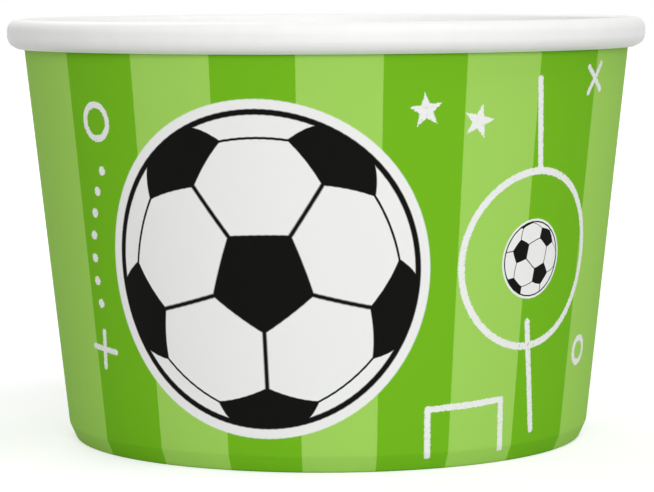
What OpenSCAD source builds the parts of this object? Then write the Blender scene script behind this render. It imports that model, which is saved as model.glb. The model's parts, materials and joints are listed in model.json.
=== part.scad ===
// Paper dessert cup: a tapered wall of printed paperboard, rolled outwards into a
// bead at the mouth and folded up inside at the foot, where it holds a base disc.
// The wall is one sheet with a glued lap seam, and the base disc is a second sheet.
// Stripes in two greens are printed on the wall, one ink over the other.
// Millimetres. +Z is up, the origin is the middle of the foot, the front faces -Y.

/* [Cup] */
// Diameter over the rolled rim
rim_d = 95; // [88:0.5:105]
// Height from the table to the top of the rim
cup_h = 62.5; // [45:0.5:85]
// Outer diameter that the wall would have at the table
foot_d = 77.4; // [68:0.2:82]
// Thickness of the wall board
wall_t = 0.34; // [0.24:0.01:0.36]

/* [Rolled rim] */
// Height of the rolled bead
bead_h = 4.35; // [4:0.05:6]
// How far the bead stands out from the wall below it
bead_reach = 2.52; // [2.45:0.01:3]
// Radius of the bend over the mouth, on the cup's side
mouth_r = 0.8; // [0.75:0.05:1.1]
// Radius of the bead's lower bend on the outside
bead_low_r = 1.7; // [1.4:0.05:1.8]
// Slope of the bead's underside, down towards the wall
bead_slope = 28; // [15:1:35]
// Radius of the bend in which the underside turns up beside the wall
tail_r = 0.45; // [0.42:0.01:0.55]
// Clear space between that bend and the overlap of the side seam
bead_gap = 0.06; // [0.03:0.01:0.1]
// Angle that the board goes on turning after the lowest point of the bead
tail_angle = 150; // [60:5:160]

/* [Side seam] */
// Width of the glued overlap at the neck
lap_w = 8; // [5:0.5:12]
// Width over which the outer flap comes down beside the inner edge
step_w = 1.5; // [1:0.1:3]
// Height above the tuck over which the overlap is pressed down to one board
press_h = 4; // [2:0.5:10]
// Direction of the overlap's inner edge, anticlockwise from +X
seam_angle = 12; // [0:1:60]

/* [Foot] */
// Height of the lower edge that is tucked inwards
tuck_h = 2.4; // [2:0.1:3.6]
// Lean of the tucked edge from upright
tuck_angle = 24; // [12:1:30]
// Radius of the bend above the tucked edge
tuck_r = 1.6; // [1.3:0.1:2.4]
// Part of the fold's half turn that is pressed flat on the table
fold_flat = 40; // [20:5:60]

/* [Base disc] */
// Thickness of the base board
base_t = 0.3; // [0.22:0.01:0.36]
// Height of the disc's upper face above the table
floor_h = 7.4; // [6:0.1:12]
// Radius of the bend between disc and skirt, on its inner side
skirt_r = 0.4; // [0.2:0.05:0.5]
// Height of the skirt's lower edge above the table
skirt_z = 0.9; // [0.8:0.1:1.6]
// Height between the disc and the cut edge of the hem below it
hem_gap = 0.9; // [0.6:0.1:2]
// Film of sealant between the boards
seal_t = 0.02; // [0.01:0.01:0.04]

/* [Print] */
// Direction of the middle of the print, anticlockwise from +X
print_angle = -87.7; // [-100:0.1:-80]
// Thickness of one layer of ink
ink_t = 0.01; // [0.008:0.001:0.012]

/* [Hidden] */
$fn = 180;

WHITE_BOARD = [0.97, 0.97, 0.96];
BASE_BOARD = [0.93, 0.93, 0.91];
LIGHT_GREEN = [0.64, 0.84, 0.37];
DARK_GREEN = [0.47, 0.75, 0.14];

// Widths of the stripes in degrees, from the middle of the print round to the back.
// The first is half a light stripe, and the others follow dark and light in turn.
STRIPES = [7.55, 15.2, 16.1, 17.6, 30, 18, 16.8, 16.8, 16.8, 16.8];

// Largest turn between two stations of a bend
BEND_STEP = 15;

// Sections lie in the plane of radius and height. A station is a point on the white
// face of a board with the board's heading, where 0 is up and 90 is outwards.
// The board's other face lies to the right of the heading.
function right(h) = [cos(h), -sin(h)];
function ahead(h) = [sin(h), cos(h)];
function at_depth(station, d) = station[0] + d * right(station[1]);

// Stations round a bend. A positive radius turns left, a negative one turns right.
function bend(centre, r, from, to) =
    let (n = ceil(abs(to - from) / BEND_STEP))
    [for (i = [0:n]) let (h = from + (to - from) * i / n) [centre + r * right(h), h]];

// Section of a board between its two faces
function board(white, other) =
    concat(white, [for (i = [len(other) - 1:-1:0]) other[i]]);

// Lean of the wall, whose printed face runs from the foot circle to the neck
neck_z = cup_h - bead_h;
neck_r = rim_d / 2 - bead_reach;
lean = atan((neck_r - foot_d / 2) / neck_z);
function wall_r(z) = foot_d / 2 + z * tan(lean);

// Upper bends of the bead: the outer one spans what the bend over the mouth leaves
mouth_z = cup_h - mouth_r;
mouth_c = [wall_r(mouth_z) + (mouth_r - wall_t) / cos(lean), mouth_z];
top_r = rim_d / 2 - mouth_c[0];
top_c = [mouth_c[0], cup_h - top_r];

// Lower bends of the bead, with the sloping underside between them. The last one leaves
// room for the seam's doubled board.
tail_z = neck_z + tail_r;
tail_c = [wall_r(tail_z) + (wall_t + bead_gap + tail_r) / cos(lean), tail_z];
low_x = rim_d / 2 - bead_low_r;
low_rise = (bead_low_r - tail_r + (low_x - tail_c[0]) * sin(bead_slope)) / cos(bead_slope);
low_c = [low_x, tail_z + low_rise];

// Bend above the tuck, with its centre on the cup's inner side
tuck_top = [wall_r(tuck_h), tuck_h];
tuck_half = (tuck_angle - lean) / 2;
tuck_c = tuck_top + tuck_r * tan(tuck_half) * ahead(lean) - tuck_r * right(lean);

// Fold at the table. Its pocket holds the skirt of the base disc.
pocket_w = base_t + 2 * seal_t;
fold_r = wall_t + pocket_w / 2;
fold_z = fold_r * cos(fold_flat / 2);
fold_drop = (tuck_h + fold_r * sin(tuck_angle) - fold_z) / cos(tuck_angle);
fold_c = tuck_top - fold_drop * ahead(tuck_angle) - fold_r * right(tuck_angle);

// Hem inside the pocket, up to its cut edge
hem_r = tuck_r - wall_t - pocket_w;
hem_foot = tuck_c + hem_r * right(lean);
hem_z = floor_h - base_t - hem_gap;
hem_end = hem_foot + (hem_z - hem_foot[1]) / cos(lean) * ahead(lean);

// Stations of the wall board, from the cut edge of the hem to that of the roll. The lap
// stations are those where the side seam has two boards.
press_z = tuck_h + press_h;
press_foot = [wall_r(press_z), press_z] - wall_t * right(lean);
foot_stations = concat(
    [[hem_end, 180 + lean]],
    bend(tuck_c, -hem_r, 180 + lean, 180 + tuck_angle),
    bend(fold_c, pocket_w / 2, 180 + tuck_angle, 90 + fold_flat / 2),
    bend(fold_c, pocket_w / 2, 90 - fold_flat / 2, tuck_angle),
    bend(tuck_c, tuck_r - wall_t, tuck_angle, lean));
lap_stations = concat(
    [[press_foot, lean]],
    bend(mouth_c, -mouth_r, lean, 90),
    bend(top_c, -top_r, 90, 180),
    bend(low_c, -bead_low_r, 180, 270 - bead_slope));
tail_stations = bend(tail_c, -tail_r, 270 - bead_slope, 270 + tail_angle);

// Section of one board, whose white face is at depth 0
module wall_section() {
    stations = concat(foot_stations, lap_stations, tail_stations);
    polygon(board(
        [for (s = stations) at_depth(s, 0)],
        [for (s = stations) at_depth(s, wall_t)]));
}

// Section of a flap between two depths, given in boards. Where the seam is pressed
// together, above the tuck and at the end of the roll, it runs out between two others.
module flap_section(pressed, depths) {
    first = foot_stations[len(foot_stations) - 1];
    last = tail_stations[0];
    function face(i) = concat(
        [at_depth(first, pressed[i] * wall_t)],
        [for (s = lap_stations) at_depth(s, depths[i] * wall_t)],
        [at_depth(last, pressed[i] * wall_t)]);
    polygon(board(face(0), face(1)));
}

// Widths on the wall as angles, in hundredths of a degree
function turn(width) = round(width / neck_r * 18000 / PI) / 100;

// Short lifts in which the outer flap comes down to the wall beside the inner edge
STEP_LIFTS = 3;
lift_turn = turn(step_w / STEP_LIFTS);
lap_turn = turn(lap_w);
function lift(k) = 1 - k / (STEP_LIFTS + 1);

// Share of a board by which the flaps and the print are sunk in the wall, or by which a
// cut stands clear of it
SINK = 0.5;
CLEAR = 0.06;

// Print on the outside of the wall, from the fold at the foot to the neck. The section
// of a number of layers of ink starts inside the board.
print_stations = concat(
    [for (s = foot_stations) if (s[1] < 90 - fold_flat / 2) s],
    [[[neck_r, neck_z] - wall_t * right(lean), lean]]);
module print_section(layers) {
    polygon(board(
        [for (s = print_stations) at_depth(s, SINK * wall_t)],
        [for (s = print_stations) at_depth(s, wall_t + layers * ink_t)]));
}

// The light green is printed all round, and the dark stripes over it
function turn_to(stripe) = stripe < 0 ? 0 : STRIPES[stripe] + turn_to(stripe - 1);
module print() {
    color(LIGHT_GREEN) rotate_extrude() print_section(1);
    color(DARK_GREEN)
        for (stripe = [1:2:len(STRIPES) - 1], start = [turn_to(stripe - 1), -turn_to(stripe)])
            rotate_extrude(start = print_angle + start, angle = STRIPES[stripe]) print_section(2);
}

// Wall board: one board all round, two over the overlap. Beside the overlap's inner
// edge the outer flap is lifted off the inside, which leaves a narrow groove there.
module side_wall() {
    difference() {
        union() {
            color(WHITE_BOARD) rotate_extrude() wall_section();
            print();
            color(DARK_GREEN)
                for (k = [0:STEP_LIFTS])
                    rotate_extrude(start = seam_angle - lap_turn, angle = lap_turn + k * lift_turn)
                        flap_section([SINK, 1 - CLEAR], [SINK, 1 + lift(k)]);
        }
        color(WHITE_BOARD)
            for (k = [1:STEP_LIFTS])
                rotate_extrude(start = seam_angle, angle = k * lift_turn)
                    flap_section([-CLEAR, -CLEAR / 2], [-CLEAR, lift(k)]);
    }
}

// Bend between disc and skirt, and the run of the skirt down the tuck
skirt_out_r = skirt_r + base_t;
skirt_z_c = floor_h - skirt_out_r;
skirt_inset = (wall_t + seal_t + skirt_out_r) / cos(lean);
skirt_c = [wall_r(skirt_z_c) - skirt_inset, skirt_z_c];
skirt_tuck_r = tuck_r - wall_t - seal_t;
skirt_foot = tuck_c + skirt_tuck_r * right(tuck_angle);
skirt_run = (skirt_foot[1] - skirt_z) / cos(tuck_angle);
disc_stations = concat(
    [[[0, floor_h], 90]],
    bend(skirt_c, -skirt_out_r, 90, 180 + lean),
    bend(tuck_c, -skirt_tuck_r, 180 + lean, 180 + tuck_angle),
    [[skirt_foot - skirt_run * ahead(tuck_angle), 180 + tuck_angle]]);

// Base board: a flat disc with its edge turned down into the pocket of the wall
module base_disc() {
    color(BASE_BOARD)
        rotate_extrude()
            polygon(board(
                [for (s = disc_stations) at_depth(s, 0)],
                [for (s = disc_stations) at_depth(s, base_t)]));
}

side_wall();
base_disc();
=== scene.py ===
"""Paper dessert cup: the looks of its printed wall with the rolled rim and of its base disc."""
import json
from math import atan, ceil, cos, pi, radians, sin, sqrt, tan

import bmesh
import bpy
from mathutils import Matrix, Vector

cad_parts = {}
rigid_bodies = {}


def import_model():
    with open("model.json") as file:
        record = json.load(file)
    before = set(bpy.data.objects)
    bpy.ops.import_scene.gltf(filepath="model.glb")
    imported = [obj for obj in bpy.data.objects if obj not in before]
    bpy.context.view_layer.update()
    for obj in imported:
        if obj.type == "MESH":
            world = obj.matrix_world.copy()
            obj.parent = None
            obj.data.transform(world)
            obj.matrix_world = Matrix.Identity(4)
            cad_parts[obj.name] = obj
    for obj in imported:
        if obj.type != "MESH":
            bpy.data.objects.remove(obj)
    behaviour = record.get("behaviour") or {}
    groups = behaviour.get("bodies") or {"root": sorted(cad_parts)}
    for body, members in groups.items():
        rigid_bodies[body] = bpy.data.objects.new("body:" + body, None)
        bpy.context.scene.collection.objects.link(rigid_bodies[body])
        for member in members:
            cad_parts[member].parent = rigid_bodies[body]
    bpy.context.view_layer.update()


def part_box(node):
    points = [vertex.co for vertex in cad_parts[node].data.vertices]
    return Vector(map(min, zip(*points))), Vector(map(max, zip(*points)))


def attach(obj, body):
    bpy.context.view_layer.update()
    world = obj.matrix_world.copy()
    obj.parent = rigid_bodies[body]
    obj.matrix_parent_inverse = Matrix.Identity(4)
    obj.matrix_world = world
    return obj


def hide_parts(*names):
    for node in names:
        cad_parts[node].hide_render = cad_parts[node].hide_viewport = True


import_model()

MM = 0.001

# Side wall: one sheet of printed paperboard, rolled into a cone and glued in a lap
# seam. Its top is curled outwards into the rim, and its foot is folded up inside,
# round the skirt of the base disc. The inside and the rim show the white face.
wall_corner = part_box("side_wall")[1]
rim_radius = wall_corner.x
cup_height = wall_corner.z
foot_radius = 38.7 * MM
board = 0.34 * MM
bead_height = 4.35 * MM
bead_reach = 2.52 * MM
mouth_bend = 0.8 * MM
low_bend = 1.7 * MM
bead_slope = radians(28)
tail_bend = 0.45 * MM
bead_gap = 0.06 * MM
roll_turn = radians(150)
tuck_height = 2.4 * MM
tuck_lean = radians(24)
tuck_bend = 1.6 * MM
fold_flat = radians(40)
base_board = 0.3 * MM
glue_film = 0.02 * MM
disc_height = 7.4 * MM
hem_gap = 0.9 * MM
lift_height = 6.4 * MM
foot_lift = 0.01 * MM
bend_step = radians(7.5)

neck_height = cup_height - bead_height
neck_radius = rim_radius - bead_reach
lean = atan((neck_radius - foot_radius) / neck_height)


def right_of(heading):
    """Unit step from the white face into the board, which heads upwards at 0 and outwards at 90 degrees."""
    return Vector((cos(heading), -sin(heading)))


def ahead(heading):
    """Unit step along the board."""
    return Vector((sin(heading), cos(heading)))


def bend(centre, radius, start, end):
    """Points of the white face round a bend, which turns right where the radius is negative."""
    count = ceil(abs(end - start) / bend_step)
    headings = [start + (end - start) * step / count for step in range(count + 1)]
    return [centre + radius * right_of(heading) for heading in headings]


def wall_radius(height):
    """Radius of the printed face at a height above the table."""
    return foot_radius + height * tan(lean)


mouth_height = cup_height - mouth_bend
mouth_centre = Vector((wall_radius(mouth_height) + (mouth_bend - board) / cos(lean), mouth_height))
top_bend = rim_radius - mouth_centre.x
tail_height = neck_height + tail_bend
tail_reach = (board + bead_gap + tail_bend) / cos(lean)
tail_centre = Vector((wall_radius(tail_height) + tail_reach, tail_height))
low_centre = Vector((rim_radius - low_bend, tail_height))
low_rise = low_bend - tail_bend + (low_centre.x - tail_centre.x) * sin(bead_slope)
low_centre.y += low_rise / cos(bead_slope)
tuck_top = Vector((wall_radius(tuck_height), tuck_height))
tuck_reach = tuck_bend * tan((tuck_lean - lean) / 2)
tuck_centre = tuck_top + tuck_reach * ahead(lean) - tuck_bend * right_of(lean)
pocket = base_board + 2 * glue_film
fold_radius = board + pocket / 2
fold_depth = pocket / 2 * cos(fold_flat / 2) + board + foot_lift
fold_rise = tuck_height + fold_radius * sin(tuck_lean) - fold_depth
fold_centre = tuck_top - fold_rise / cos(tuck_lean) * ahead(tuck_lean) - fold_radius * right_of(tuck_lean)
hem_bend = tuck_bend - board - pocket
hem_foot = tuck_centre + hem_bend * right_of(lean)
hem_rise = disc_height - base_board - hem_gap - hem_foot.y
section = [
    hem_foot + hem_rise / cos(lean) * ahead(lean),
    *bend(tuck_centre, -hem_bend, pi + lean, pi + tuck_lean),
    *bend(fold_centre, pocket / 2, pi + tuck_lean, pi / 2 + fold_flat / 2),
    *bend(fold_centre, pocket / 2, pi / 2 - fold_flat / 2, tuck_lean),
    *bend(tuck_centre, tuck_bend - board, tuck_lean, lean),
    Vector((wall_radius(lift_height), lift_height)) - board * right_of(lean),
    *bend(mouth_centre, -mouth_bend, lean, pi / 2),
    *bend(Vector((mouth_centre.x, cup_height - top_bend)), -top_bend, pi / 2, pi),
    *bend(low_centre, -low_bend, pi, 1.5 * pi - bead_slope),
    *bend(tail_centre, -tail_bend, 1.5 * pi - bead_slope, 1.5 * pi + roll_turn),
]

# The sheet is drawn as its section at the inner edge of the seam, and swept round the
# cup and on over that edge. The overlap is lifted by one board, but at the foot and at
# the end of the roll it is pressed down, and only the foot lift keeps the faces apart.
steps_round = 240
overlap_steps = 7
seam_direction = radians(12)
WHITE_SIDE, OTHER_SIDE, CUT_EDGE, HEM_SIDE = range(4)


def draw_section(name, points, direction):
    """A line through points of radius and height, in the upright plane of a direction.

    It starts as a small plane that is merged into its first point.
    """
    places = [Vector((p.x * cos(direction), p.x * sin(direction), p.y)) for p in points]
    bpy.ops.object.select_all(action="DESELECT")
    bpy.ops.mesh.primitive_plane_add(size=board)
    line = bpy.context.object
    line.name = line.data.name = name
    bpy.ops.object.mode_set(mode="EDIT")
    bpy.ops.mesh.select_all(action="SELECT")
    bpy.ops.mesh.merge(type="CENTER")
    bpy.ops.transform.translate(value=places[0])
    for last, place in zip(places, places[1:]):
        bpy.ops.mesh.extrude_region_move(TRANSFORM_OT_translate={"value": place - last})
    bpy.ops.mesh.select_all(action="SELECT")
    bpy.ops.mesh.remove_doubles(threshold=0.01 * MM)
    return line


def stiffen(sheet, thickness):
    """Gives a sheet its board, with a slot for the white side, the other side and the cut edges."""
    for side in (WHITE_SIDE, OTHER_SIDE, CUT_EDGE):
        sheet.data.materials.append(None)
    solid = sheet.modifiers.new("Board", "SOLIDIFY")
    solid.thickness = thickness
    solid.offset = -1
    solid.use_even_offset = True
    solid.use_quality_normals = True
    solid.material_offset = OTHER_SIDE
    solid.material_offset_rim = CUT_EDGE
    bpy.ops.object.modifier_apply(modifier=solid.name)
    bpy.ops.object.shade_smooth_by_angle(angle=radians(35))


wall = draw_section("wall_sheet", section, seam_direction)
bpy.ops.mesh.select_all(action="SELECT")
steps = steps_round + overlap_steps
bpy.ops.mesh.spin(steps=steps, angle=2 * pi * steps / steps_round, center=(0, 0, 0), axis=(0, 0, 1))
for step in range(overlap_steps):
    bpy.ops.mesh.select_more()
bpy.ops.transform.shrink_fatten(value=foot_lift)
sheet = bmesh.from_edit_mesh(wall.data)
for vertex in sheet.verts:
    off_tail = (Vector((vertex.co.xy.length, vertex.co.z)) - tail_centre).length
    lifted = vertex.co.z > lift_height and off_tail > tail_bend + 2 * foot_lift
    vertex.select = vertex.select and lifted
sheet.select_flush_mode()
bpy.ops.transform.shrink_fatten(value=board)
bpy.ops.mesh.select_all(action="SELECT")
bpy.ops.mesh.flip_normals()
bpy.ops.object.mode_set(mode="OBJECT")
stiffen(wall, board)

# The print covers the outside from the fold up to the neck. The hem inside the foot
# is bare board, with the ridges of the roller that pressed it against the base disc.
for face in wall.data.polygons:
    if face.material_index == OTHER_SIDE:
        if face.center.z > neck_height:
            face.material_index = WHITE_SIDE
        elif face.normal.xy.dot(face.center.xy) < 0:
            face.material_index = HEM_SIDE


def node(tree, kind, inputs=(), **settings):
    """A node with its settings, and its inputs as plain values or as outputs of other nodes."""
    made = tree.nodes.new(kind)
    for setting, value in settings.items():
        setattr(made, setting, value)
    for place, value in dict(inputs).items():
        if isinstance(value, bpy.types.NodeSocket):
            tree.links.new(value, made.inputs[place])
        else:
            made.inputs[place].default_value = value
    return made


def work_out(tree, operation, *values, clamp=False):
    """The result of a Math node."""
    made = node(tree, "ShaderNodeMath", enumerate(values), operation=operation, use_clamp=clamp)
    return made.outputs["Value"]


def new_group(name, given, wanted):
    """An empty node group, with what it is given and what it puts out."""
    tree = bpy.data.node_groups.new(name, "ShaderNodeTree")
    for label, kind in given.items():
        tree.interface.new_socket(label, in_out="INPUT", socket_type="NodeSocket" + kind)
    for label, kind in wanted.items():
        tree.interface.new_socket(label, in_out="OUTPUT", socket_type="NodeSocket" + kind)
    return tree, tree.nodes.new("NodeGroupInput").outputs, tree.nodes.new("NodeGroupOutput").inputs


def mix_colours(tree, share, first, second):
    """The first colour where the share is 0, the second where it is 1."""
    inputs = {0: share, 6: first, 7: second}
    return node(tree, "ShaderNodeMix", inputs, data_type="RGBA").outputs[2]


def paint(red, green, blue):
    """A colour of 0 to 255, as on a screen, in the renderer's linear values."""
    return (*(((part / 255 + 0.055) / 1.055) ** 2.4 for part in (red, green, blue)), 1)


def new_finish(name, roughness, specular):
    """A material, its node tree and its shader."""
    material = bpy.data.materials.new(name)
    material.use_nodes = True
    shader = material.node_tree.nodes["Principled BSDF"]
    shader.inputs["Roughness"].default_value = roughness
    shader.inputs["Specular IOR Level"].default_value = specular
    return material, material.node_tree, shader


# Paperboard under every finish: short fibres that lie all ways, in soft clouds of
# more and less pulp. Its relief shows faintly through the coat and the ink.
pulp, given, wanted = new_group("Paper pulp", {"Place": "Vector"}, {"Relief": "Float", "Cloud": "Float"})
fibres = node(pulp, "ShaderNodeTexNoise", {"Vector": given["Place"], "Scale": 2600, "Detail": 3})
clouds = node(pulp, "ShaderNodeTexNoise", {"Vector": given["Place"], "Scale": 320, "Detail": 4})
waves = node(pulp, "ShaderNodeTexNoise", {"Vector": given["Place"], "Scale": 60, "Detail": 2})
fibre_part, cloud_part, wave_part = 0.3, 0.5, 1.6
relief = work_out(pulp, "MULTIPLY", clouds.outputs[0], cloud_part)
relief = work_out(pulp, "MULTIPLY_ADD", fibres.outputs[0], fibre_part, relief)
relief = work_out(pulp, "MULTIPLY_ADD", waves.outputs[0], wave_part, relief)
pulp.links.new(relief, wanted["Relief"])
pulp.links.new(clouds.outputs[0], wanted["Cloud"])


def lay_pulp(tree, shader, depth, ridges=None):
    """Gives a shader the relief of the board, and returns the cloud over it."""
    place = node(tree, "ShaderNodeTexCoord").outputs["Object"]
    face = node(tree, "ShaderNodeGroup", node_tree=pulp)
    tree.links.new(place, face.inputs["Place"])
    height = face.outputs["Relief"]
    if ridges:
        height = work_out(tree, "ADD", height, ridges)
    bump = node(tree, "ShaderNodeBump", {"Height": height, "Distance": depth})
    tree.links.new(bump.outputs[0], shader.inputs["Normal"])
    return face.outputs["Cloud"]


def colour_board(tree, shader, cloud, thin, dense):
    """Colours a board between its thin and its dense places."""
    contrast = 2.0
    share = work_out(tree, "MULTIPLY_ADD", cloud, contrast, (1 - contrast) / 2, clamp=True)
    tree.links.new(mix_colours(tree, share, thin, dense), shader.inputs["Base Color"])


white_coat, tree, shader = new_finish("White coated board", 0.45, 0.3)
colour_board(tree, shader, lay_pulp(tree, shader, 0.006 * MM), paint(246, 246, 245), paint(250, 250, 249))

raw_edge, tree, shader = new_finish("Cut edge of the board", 0.85, 0.25)
colour_board(tree, shader, lay_pulp(tree, shader, 0.03 * MM), paint(229, 226, 217), paint(240, 238, 231))

ridges_round = 260
pressed_hem, tree, shader = new_finish("Pressed hem", 0.6, 0.35)
place = node(tree, "ShaderNodeSeparateXYZ", {0: node(tree, "ShaderNodeTexCoord").outputs["Object"]})
turn = work_out(tree, "ARCTAN2", place.outputs["X"], place.outputs["Y"])
ridge = work_out(tree, "SINE", work_out(tree, "MULTIPLY", turn, ridges_round))
cloud = lay_pulp(tree, shader, 0.04 * MM, ridge)
colour_board(tree, shader, cloud, paint(238, 237, 233), paint(244, 243, 240))

# Place on the printed sheet, in millimetres on the flat blank. Across runs round the
# cup from the middle of the print, and Up runs up the wall. The print comes twice,
# so its places are counted again on the cup's back.
print_turn = 2.3
flat_place, given, wanted = new_group(
    "Place on the flat blank",
    {"Place": "Vector"},
    {"Turn": "Float", "Across": "Float", "Up": "Float"},
)
place = node(flat_place, "ShaderNodeSeparateXYZ", {0: given["Place"]}).outputs
behind = work_out(flat_place, "MULTIPLY", place["Y"], -1)
turn = work_out(flat_place, "DEGREES", work_out(flat_place, "ARCTAN2", place["X"], behind))
turn = work_out(flat_place, "WRAP", work_out(flat_place, "SUBTRACT", turn, print_turn), 180, -180)
half_turns = work_out(flat_place, "ROUND", work_out(flat_place, "DIVIDE", turn, 180))
panel_turn = work_out(flat_place, "MULTIPLY_ADD", half_turns, -180, turn)
flat_turn = work_out(flat_place, "RADIANS", work_out(flat_place, "MULTIPLY", panel_turn, sin(lean)))
reach = node(flat_place, "ShaderNodeCombineXYZ", {0: place["X"], 1: place["Y"]})
reach = node(flat_place, "ShaderNodeVectorMath", {0: reach.outputs[0]}, operation="LENGTH").outputs["Value"]
apex_reach = work_out(flat_place, "DIVIDE", reach, sin(lean) * MM)
across = work_out(flat_place, "MULTIPLY", apex_reach, work_out(flat_place, "SINE", flat_turn))
up = work_out(flat_place, "MULTIPLY", apex_reach, work_out(flat_place, "COSINE", flat_turn))
up = work_out(flat_place, "SUBTRACT", up, foot_radius / sin(lean) / MM)
flat_place.links.new(turn, wanted["Turn"])
flat_place.links.new(across, wanted["Across"])
flat_place.links.new(up, wanted["Up"])

# Chalk strokes of the print: a white line whose sides are ragged and whose body is
# broken by specks, from its distance to the stroke's middle in millimetres.
chalk, given, wanted = new_group(
    "Chalk stroke",
    {"Distance": "Float", "Half width": "Float", "Flat place": "Vector"},
    {"Cover": "Float"},
)
rag_depth = 0.7
side_sharpness = 12
speck_contrast = 12
speck_level = 7.9
inputs = {"Vector": given["Flat place"], "Scale": 3.4, "Detail": 4, "Roughness": 0.6}
rag = node(chalk, "ShaderNodeTexNoise", inputs).outputs[0]
rag = work_out(chalk, "MULTIPLY_ADD", rag, rag_depth, -rag_depth / 2)
side = work_out(chalk, "SUBTRACT", given["Half width"], given["Distance"])
side = work_out(chalk, "MULTIPLY", work_out(chalk, "ADD", side, rag), side_sharpness, clamp=True)
inputs = {"Vector": given["Flat place"], "Scale": 1.7, "Detail": 6, "Roughness": 0.8}
specks = node(chalk, "ShaderNodeTexNoise", inputs).outputs[0]
specks = work_out(chalk, "MULTIPLY_ADD", specks, -speck_contrast, speck_level, clamp=True)
chalk.links.new(work_out(chalk, "MULTIPLY", side, specks), wanted["Cover"])

# Ball of the print: the common ball of twelve black five-sided and twenty white
# six-sided panels. A place on its disc is raised to the ball's front and compared
# with the middles of the panels, which mirror in three planes.
golden = (1 + sqrt(5)) / 2
five_height, six_height = 2.327, 2.267  # of a panel over the ball's middle, in panel edges
five_distance = five_height * sqrt(1 + golden**2)
six_distance = six_height * sqrt(3)
panel_sharpness = 400
seam_sharpness = 300
outline_sharpness = 120
ball, given, wanted = new_group(
    "Panelled ball",
    {"Place": "Vector", "Turn": "Vector", "Outline": "Float", "Seam": "Float"},
    {"Disc": "Float", "Black": "Float", "Radius": "Float"},
)
radius = node(ball, "ShaderNodeVectorMath", {0: given["Place"]}, operation="LENGTH").outputs["Value"]
front = work_out(ball, "SUBTRACT", 1, work_out(ball, "POWER", radius, 2), clamp=True)
front = work_out(ball, "SQRT", front)
place = node(ball, "ShaderNodeSeparateXYZ", {0: given["Place"]}).outputs
place = node(ball, "ShaderNodeCombineXYZ", {0: place["X"], 1: place["Y"], 2: front}).outputs[0]
inputs = {"Vector": place, "Rotation": given["Turn"]}
place = node(ball, "ShaderNodeVectorRotate", inputs, rotation_type="EULER_XYZ").outputs[0]
place = node(ball, "ShaderNodeVectorMath", {0: place}, operation="ABSOLUTE").outputs[0]


def nearness(middle, distance):
    """How far a place lies towards a panel's middle, in parts of the panel's distance."""
    inputs = {0: place, 1: Vector(middle) / distance}
    return node(ball, "ShaderNodeVectorMath", inputs, operation="DOT_PRODUCT").outputs["Value"]


fives = [(0, 1, golden), (1, golden, 0), (golden, 0, 1)]
near_five = nearness(fives[0], five_distance)
for middle in fives[1:]:
    near_five = work_out(ball, "MAXIMUM", near_five, nearness(middle, five_distance))
short, long = 1 / golden, golden
sixes = [
    (1, 1, 1),
    (short, 0, long), (-short, 0, long),
    (long, short, 0), (long, -short, 0),
    (0, long, short), (0, long, -short),
]
near_six = nearness(sixes[0], six_distance)
next_six = 0
for middle in sixes[1:]:
    other = nearness(middle, six_distance)
    next_six = work_out(ball, "MAXIMUM", next_six, work_out(ball, "MINIMUM", near_six, other))
    near_six = work_out(ball, "MAXIMUM", near_six, other)
black_panel = work_out(ball, "SUBTRACT", near_five, near_six)
black_panel = work_out(ball, "MULTIPLY", black_panel, panel_sharpness, clamp=True)
seam = work_out(ball, "SUBTRACT", given["Seam"], work_out(ball, "SUBTRACT", near_six, next_six))
seam = work_out(ball, "MULTIPLY", seam, seam_sharpness, clamp=True)
rim_line = work_out(ball, "SUBTRACT", work_out(ball, "ADD", radius, given["Outline"]), 1)
rim_line = work_out(ball, "MULTIPLY", rim_line, outline_sharpness, clamp=True)
black = work_out(ball, "MAXIMUM", work_out(ball, "MAXIMUM", black_panel, seam), rim_line)
disc = work_out(ball, "MULTIPLY", work_out(ball, "SUBTRACT", 1, radius), outline_sharpness, clamp=True)
ball.links.new(disc, wanted["Disc"])
ball.links.new(work_out(ball, "MULTIPLY", disc, black), wanted["Black"])
ball.links.new(radius, wanted["Radius"])

# Print of the wall: mown stripes in two greens, whose widths are in degrees from the
# middle of the print, and over them two balls and the chalk marks of a plain pitch.
# The ink is duller than the coat.
stripe_turns = [7.55, 15.2, 16.1, 17.6, 30, 18, 16.8, 16.8, 16.8, 16.8]
stripe_rag = 0.0008
light_green = paint(168, 220, 98)
dark_green = paint(120, 192, 30)
chalk_white = paint(250, 250, 249)
ink_black = paint(11, 10, 9)
print_ink, tree, shader = new_finish("Printed board", 0.8, 0.1)
place = node(tree, "ShaderNodeTexCoord").outputs["Object"]
flat = node(tree, "ShaderNodeGroup", {0: place}, node_tree=flat_place).outputs
flat_point = node(tree, "ShaderNodeCombineXYZ", {0: flat["Across"], 1: flat["Up"]}).outputs[0]
from_middle = work_out(tree, "DIVIDE", work_out(tree, "ABSOLUTE", flat["Turn"]), 180)
ragged = node(tree, "ShaderNodeTexNoise", {"Vector": flat_point, "Scale": 1.2, "Detail": 3}).outputs[0]
from_middle = work_out(tree, "MULTIPLY_ADD", ragged, stripe_rag, from_middle)
stripes = node(tree, "ShaderNodeValToRGB", {"Fac": from_middle})
stripes.color_ramp.interpolation = "CONSTANT"
stripes.color_ramp.elements[0].color = light_green
stripes.color_ramp.elements[1].position = stripe_turns[0] / 180
stripes.color_ramp.elements[1].color = dark_green
for count in range(1, len(stripe_turns)):
    stripe = stripes.color_ramp.elements.new(sum(stripe_turns[:count + 1]) / 180)
    stripe.color = light_green if count % 2 else dark_green
colour = stripes.outputs["Color"]


def step_from(centre):
    """Step from a point of the blank to the place."""
    inputs = {0: flat_point, 1: (*centre, 0)}
    return node(tree, "ShaderNodeVectorMath", inputs, operation="SUBTRACT").outputs[0]


def distance_from(centre):
    """Distance from a point of the blank."""
    inputs = {0: step_from(centre)}
    return node(tree, "ShaderNodeVectorMath", inputs, operation="LENGTH").outputs["Value"]


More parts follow.
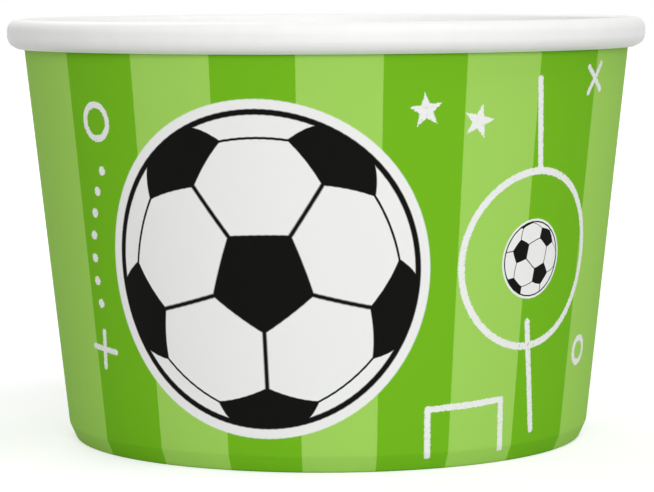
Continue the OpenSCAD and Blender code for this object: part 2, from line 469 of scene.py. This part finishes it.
def distance_along(centre, direction):
    """Distance past a point of the blank in a direction, which is given in degrees."""
    inputs = {0: step_from(centre), 1: (cos(radians(direction)), sin(radians(direction)), 0)}
    return node(tree, "ShaderNodeVectorMath", inputs, operation="DOT_PRODUCT").outputs["Value"]


def stroke(distance, half_width):
    """Cover of a chalk stroke."""
    inputs = {"Distance": distance, "Half width": half_width, "Flat place": flat_point}
    return node(tree, "ShaderNodeGroup", inputs, node_tree=chalk).outputs["Cover"]


def slant(one, other):
    """Length of two steps that stand square to each other."""
    squares = [work_out(tree, "POWER", step, 2) for step in (one, other)]
    return work_out(tree, "SQRT", work_out(tree, "ADD", *squares))


def ring(centre, size, half_width):
    """A chalk ring."""
    off_ring = work_out(tree, "ABSOLUTE", work_out(tree, "SUBTRACT", distance_from(centre), size))
    return stroke(off_ring, half_width)


def bar(centre, direction, half_length, half_width):
    """A straight chalk bar, through its middle and in a direction."""
    along = work_out(tree, "ABSOLUTE", distance_along(centre, direction))
    over_end = work_out(tree, "MAXIMUM", work_out(tree, "SUBTRACT", along, half_length), 0)
    aside = distance_along(centre, direction + 90)
    return stroke(slant(over_end, aside), half_width)


def star(centre, size, direction):
    """A five-pointed chalk star, one of whose points lies in a direction."""
    point_turn = radians(36)
    inner = size * 0.42
    side = Vector((inner * cos(point_turn) - size, inner * sin(point_turn)))
    outward = Vector((side.y, -side.x)).normalized()
    place = node(tree, "ShaderNodeSeparateXYZ", {0: step_from(centre)}).outputs
    turn = work_out(tree, "SUBTRACT", work_out(tree, "ARCTAN2", place["Y"], place["X"]), radians(direction))
    turn = work_out(tree, "ABSOLUTE", work_out(tree, "WRAP", turn, point_turn, -point_turn))
    reach = distance_from(centre)
    over_x = work_out(tree, "MULTIPLY", work_out(tree, "COSINE", turn), outward.x)
    over = work_out(tree, "MULTIPLY_ADD", work_out(tree, "SINE", turn), outward.y, over_x)
    over = work_out(tree, "MULTIPLY", reach, over)
    return stroke(work_out(tree, "SUBTRACT", over, size * outward.x), 0)


def dots(centre, reach, first, last, size, count):
    """Round chalk dots on an arc round a centre, between two directions in degrees."""
    place = node(tree, "ShaderNodeSeparateXYZ", {0: step_from(centre)}).outputs
    middle = radians((first + last) / 2)
    gap = radians(last - first) / (count - 1)
    turn = work_out(tree, "SUBTRACT", work_out(tree, "ARCTAN2", place["Y"], place["X"]), middle)
    turn = work_out(tree, "DIVIDE", work_out(tree, "WRAP", turn, pi, -pi), gap)
    half = (count - 1) / 2
    slot = work_out(tree, "ADD", work_out(tree, "ROUND", work_out(tree, "ADD", turn, half)), -half)
    slot = work_out(tree, "MINIMUM", work_out(tree, "MAXIMUM", slot, -half), half)
    off_turn = work_out(tree, "MULTIPLY", work_out(tree, "SUBTRACT", turn, slot), gap * reach)
    off_reach = work_out(tree, "SUBTRACT", distance_from(centre), reach)
    return stroke(slant(off_turn, off_reach), size)


marks = [
    ring((30, 28), 12.5, 0.55),
    bar((30, 11), 95, 8, 0.55),
    bar((31, 47), 92, 6.5, 0.55),
    ring((-38, 47), 2.4, 0.5),
    bar((-38, 14), 90, 2.6, 0.45),
    bar((-38, 14), 0, 2.6, 0.45),
    bar((44, 52), 45, 2.6, 0.45),
    bar((44, 52), 135, 2.6, 0.45),
    ring((43.5, 12), 1.8, 0.5),
    bar((12.5, 4), 90, 4.5, 0.5),
    bar((24.5, 4), 90, 4.5, 0.5),
    bar((18.5, 8.5), 0, 6, 0.5),
    star((12, 50.5), 2.6, 95),
    star((20, 48.5), 2.6, 75),
    dots((-11, 28.5), 28.5, 156, 196, 0.7, 7),
]
cover = marks[0]
for mark in marks[1:]:
    cover = work_out(tree, "MAXIMUM", cover, mark)
colour = mix_colours(tree, cover, colour, chalk_white)

halo_reach = 1.06
balls = [((-11, 28.5), 22.5, (0.42, -0.3, 0.5)), ((30, 28), 5.4, (0.9, 0.4, 0.2))]
for centre, size, turn in balls:
    place = node(tree, "ShaderNodeVectorMath", {0: step_from(centre), 3: 1 / size}, operation="SCALE")
    inputs = {"Place": place.outputs[0], "Turn": turn, "Outline": 0.045, "Seam": 0.006}
    drawn = node(tree, "ShaderNodeGroup", inputs, node_tree=ball).outputs
    halo = work_out(tree, "SUBTRACT", halo_reach, drawn["Radius"])
    halo = work_out(tree, "MULTIPLY", halo, outline_sharpness, clamp=True)
    colour = mix_colours(tree, halo, colour, chalk_white)
    colour = mix_colours(tree, drawn["Black"], colour, ink_black)
tree.links.new(colour, shader.inputs["Base Color"])
lay_pulp(tree, shader, 0.006 * MM)

wall.data.materials.append(pressed_hem)
for slot, finish in enumerate((white_coat, print_ink, raw_edge)):
    wall.data.materials[slot] = finish
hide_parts("side_wall")
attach(wall, "root")

# Base disc: a second sheet, cut round and pressed with its edge turned down. That
# skirt follows the wall and goes down between the wall and its hem.
skirt_bend = 0.7 * MM
skirt_low = 0.9 * MM
skirt_height = disc_height - skirt_bend
skirt_inset = (board + glue_film + skirt_bend) / cos(lean)
skirt_centre = Vector((wall_radius(skirt_height) - skirt_inset, skirt_height))
skirt_foot_bend = tuck_bend - board - glue_film
skirt_foot = tuck_centre + skirt_foot_bend * right_of(tuck_lean)
skirt_drop = (skirt_foot.y - skirt_low) / cos(tuck_lean)
skirt = [
    *bend(skirt_centre, -skirt_bend, pi / 2, pi + lean),
    *bend(tuck_centre, -skirt_foot_bend, pi + lean, pi + tuck_lean),
    skirt_foot - skirt_drop * ahead(tuck_lean),
]
bpy.ops.object.select_all(action="DESELECT")
bpy.ops.mesh.primitive_circle_add(
    vertices=steps_round, radius=skirt[0].x, fill_type="TRIFAN", location=(0, 0, skirt[0].y)
)
disc = bpy.context.object
disc.name = disc.data.name = "base_sheet"
bpy.ops.object.transform_apply(location=True, rotation=False, scale=False)
bpy.ops.object.mode_set(mode="EDIT")
bpy.ops.mesh.select_all(action="SELECT")
bpy.ops.mesh.region_to_loop()
for last, point in zip(skirt, skirt[1:]):
    bpy.ops.mesh.extrude_region_move(TRANSFORM_OT_translate={"value": (0, 0, point.y - last.y)})
    widen = point.x / last.x
    bpy.ops.transform.resize(value=(widen, widen, 1), center_override=(0, 0, 0))
bpy.ops.object.mode_set(mode="OBJECT")
stiffen(disc, base_board)
bare_board, tree, shader = new_finish("Bare side of the base", 0.7, 0.3)
colour_board(tree, shader, lay_pulp(tree, shader, 0.015 * MM), paint(234, 232, 226), paint(243, 241, 236))
for slot, finish in enumerate((white_coat, bare_board, raw_edge)):
    disc.data.materials[slot] = finish
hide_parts("base_disc")
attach(disc, "root")

# Studio: a pale floor that keeps the cup's soft shadow, and a white room round it.
# Both are brighter to look at than the light that they give.
floor_size = 6
shade_reach, clear_reach = 0.07, 0.4
shade_glow, clear_glow = 0.6, 0.85
room_fill, room_glow = 0.5, 1


def seen_share(tree):
    """1 for what the camera, a reflection or a clear piece sees, and 0 for the light that it gives."""
    light_path = node(tree, "ShaderNodeLightPath").outputs
    seen = work_out(tree, "MAXIMUM", light_path["Is Camera Ray"], light_path["Is Glossy Ray"])
    return work_out(tree, "MAXIMUM", seen, light_path["Is Transmission Ray"])


bpy.ops.object.select_all(action="DESELECT")
bpy.ops.mesh.primitive_plane_add(size=floor_size, location=(0, 0, 0))
floor = bpy.context.object
floor.name = floor.data.name = "Floor"
floor_paint, tree, shader = new_finish("Floor", 0.9, 0)
shader.inputs["Base Color"].default_value = paint(196, 196, 196)
shader.inputs["Emission Color"].default_value = (1, 1, 1, 1)
place = node(tree, "ShaderNodeTexCoord").outputs["Object"]
reach = node(tree, "ShaderNodeVectorMath", {0: place}, operation="LENGTH").outputs["Value"]
inputs = {0: reach, 1: shade_reach, 2: clear_reach, 3: shade_glow, 4: clear_glow}
glow = node(tree, "ShaderNodeMapRange", inputs).outputs[0]
glow = work_out(tree, "MULTIPLY", seen_share(tree), glow)
tree.links.new(glow, shader.inputs["Emission Strength"])
floor.data.materials.append(floor_paint)

room = bpy.data.worlds.new("White room")
bpy.context.scene.world = room
room.use_nodes = True
tree = room.node_tree
inputs = {0: seen_share(tree), 3: room_fill, 4: room_glow}
strength = node(tree, "ShaderNodeMapRange", inputs).outputs[0]
tree.nodes["Background"].inputs["Color"].default_value = (1, 1, 1, 1)
tree.links.new(strength, tree.nodes["Background"].inputs["Strength"])

# Lamps: a large soft box in front, a little to the right, one high on the right, and
# a weaker one behind, a little to the left.
lamp_reach = 1.2
lamp_size = 0.5
lamps = {"Front box": (8, 14, 5.7), "High box": (50, 66, 3), "Back box": (200, 40, 2.4)}
for name, (turn, rise, power) in lamps.items():
    turn, rise = radians(turn), radians(rise)
    back = Vector((sin(turn) * cos(rise), -cos(turn) * cos(rise), sin(rise)))
    bpy.ops.object.light_add(type="AREA", location=lamp_reach * back + Vector((0, 0, cup_height / 2)))
    lamp = bpy.context.object
    lamp.name = name
    lamp.data.size = lamp_size
    lamp.data.energy = power
    lamp.rotation_euler = (-back).to_track_quat("-Z", "Y").to_euler()

# Camera: a long lens a little above the rim that looks slightly down, with a slight
# roll about its view and a hair of pan to the right.
camera_place = (0, -0.44, 0.0685)
look_down = radians(5.24)
roll = 0.0049
pan = -0.0004
bpy.ops.object.camera_add(location=camera_place, rotation=(pi / 2 - look_down, roll, pan))
camera = bpy.context.object
camera.data.sensor_width = 36
camera.data.lens = 161.4
bpy.context.scene.camera = camera
bpy.context.scene.view_settings.view_transform = "Standard"
